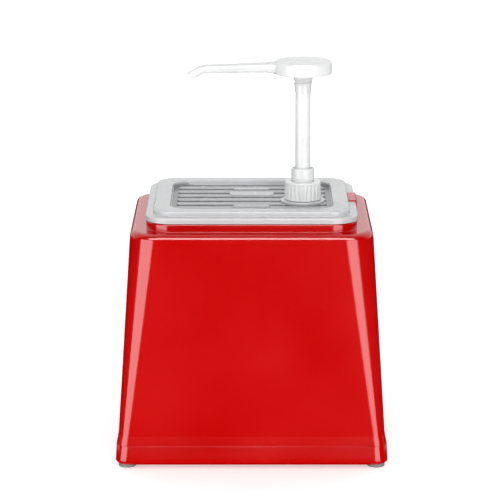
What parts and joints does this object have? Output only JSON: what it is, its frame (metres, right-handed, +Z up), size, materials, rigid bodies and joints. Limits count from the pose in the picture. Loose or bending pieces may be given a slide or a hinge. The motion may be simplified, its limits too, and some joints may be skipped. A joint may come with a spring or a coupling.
{
  "type": "condiment pump dispenser",
  "caption": "Tapered countertop casing holding a gastronorm pan with a ribbed lid, through which a spring-return hand pump with a swivelling spout dispenses sauce.",
  "frame": {"origin": "on the resting surface, under the middle of the casing", "axes": "+Z up, -Y towards the front, +X to the front's right; the spout points to -X at rest"},
  "size_m": [0.226, 0.212, 0.3287],
  "materials": {
    "casing_red": "high gloss red moulded plastic",
    "screw_steel": "zinc plated",
    "foot_rubber": "grey rubber",
    "pan_clear": "translucent polypropylene",
    "lid_clear": "translucent polypropylene",
    "clip_red": "translucent red plastic",
    "gasket_rubber": "soft off-white",
    "pump_white": "satin white polypropylene",
    "ball_steel": "polished stainless steel",
    "spring_steel": "bright stainless wire",
    "seal_white": "soft polyethylene"
  },
  "bodies": {
    "casing": {"casing_shell": "casing_red", "base_tray": "casing_red", "tray_screws": "screw_steel", "foot_front_left": "foot_rubber", "foot_front_right": "foot_rubber", "foot_rear_left": "foot_rubber", "foot_rear_right": "foot_rubber"},
    "pan": {"pan": "pan_clear"},
    "lid": {"pan_lid": "lid_clear"},
    "clip": {"colour_clip": "clip_red"},
    "pump_body": {"lock_collar": "pump_white", "pump_barrel": "pump_white", "neck_gasket": "gasket_rubber", "ball_cage": "pump_white", "dip_tube": "pump_white", "return_spring": "spring_steel"},
    "cap": {"closure_cap": "pump_white"},
    "piston": {"piston_seal": "seal_white"},
    "plunger": {"stem": "pump_white", "piston_core": "pump_white", "pump_head": "pump_white"},
    "inlet_valve": {"inlet_ball": "ball_steel"},
    "outlet_valve": {"outlet_ball": "ball_steel"}
  },
  "joints": [
    {"name": "pan_lift", "type": "slide", "parent": "casing", "child": "pan", "axis": [0, 0, 1], "range_m": [0, 0.155]},
    {"name": "lid_lift", "type": "slide", "parent": "pan", "child": "lid", "axis": [0, 0, 1], "range_m": [0, 0.15]},
    {"name": "clip_pull", "type": "slide", "parent": "lid", "child": "clip", "axis": [1, 0, 0], "range_m": [0, 0.012]},
    {"name": "pump_rise", "type": "slide", "parent": "lid", "child": "pump_body", "axis": [0, 0, 1], "range_m": [0, 0.0064]},
    {"name": "cap_turn", "type": "hinge", "parent": "pump_body", "child": "cap", "pos_m": [0.043, -0.018, 0.2107], "axis": [0, 0, 1], "range_deg": [0, 720]},
    {"name": "pump_stroke", "type": "slide", "parent": "pump_body", "child": "piston", "axis": [0, 0, -1], "range_m": [0, 0.078], "stiffness_N_per_m": 150, "springref_m": -0.05, "deforming": ["return_spring"]},
    {"name": "head_turn", "type": "hinge", "parent": "piston", "child": "plunger", "pos_m": [0.043, -0.018, 0.3168], "axis": [0, 0, 1], "continuous": true},
    {"name": "outlet_ball_lift", "type": "slide", "parent": "plunger", "child": "outlet_valve", "axis": [0, 0, 1], "range_m": [0, 0.003]},
    {"name": "inlet_ball_lift", "type": "slide", "parent": "pump_body", "child": "inlet_valve", "axis": [0, 0, 1], "range_m": [0, 0.003]}
  ],
  "couplings": [
    {"joint": "cap_turn", "follows": "pump_rise", "rad_per_m": 1963.5}
  ]
}
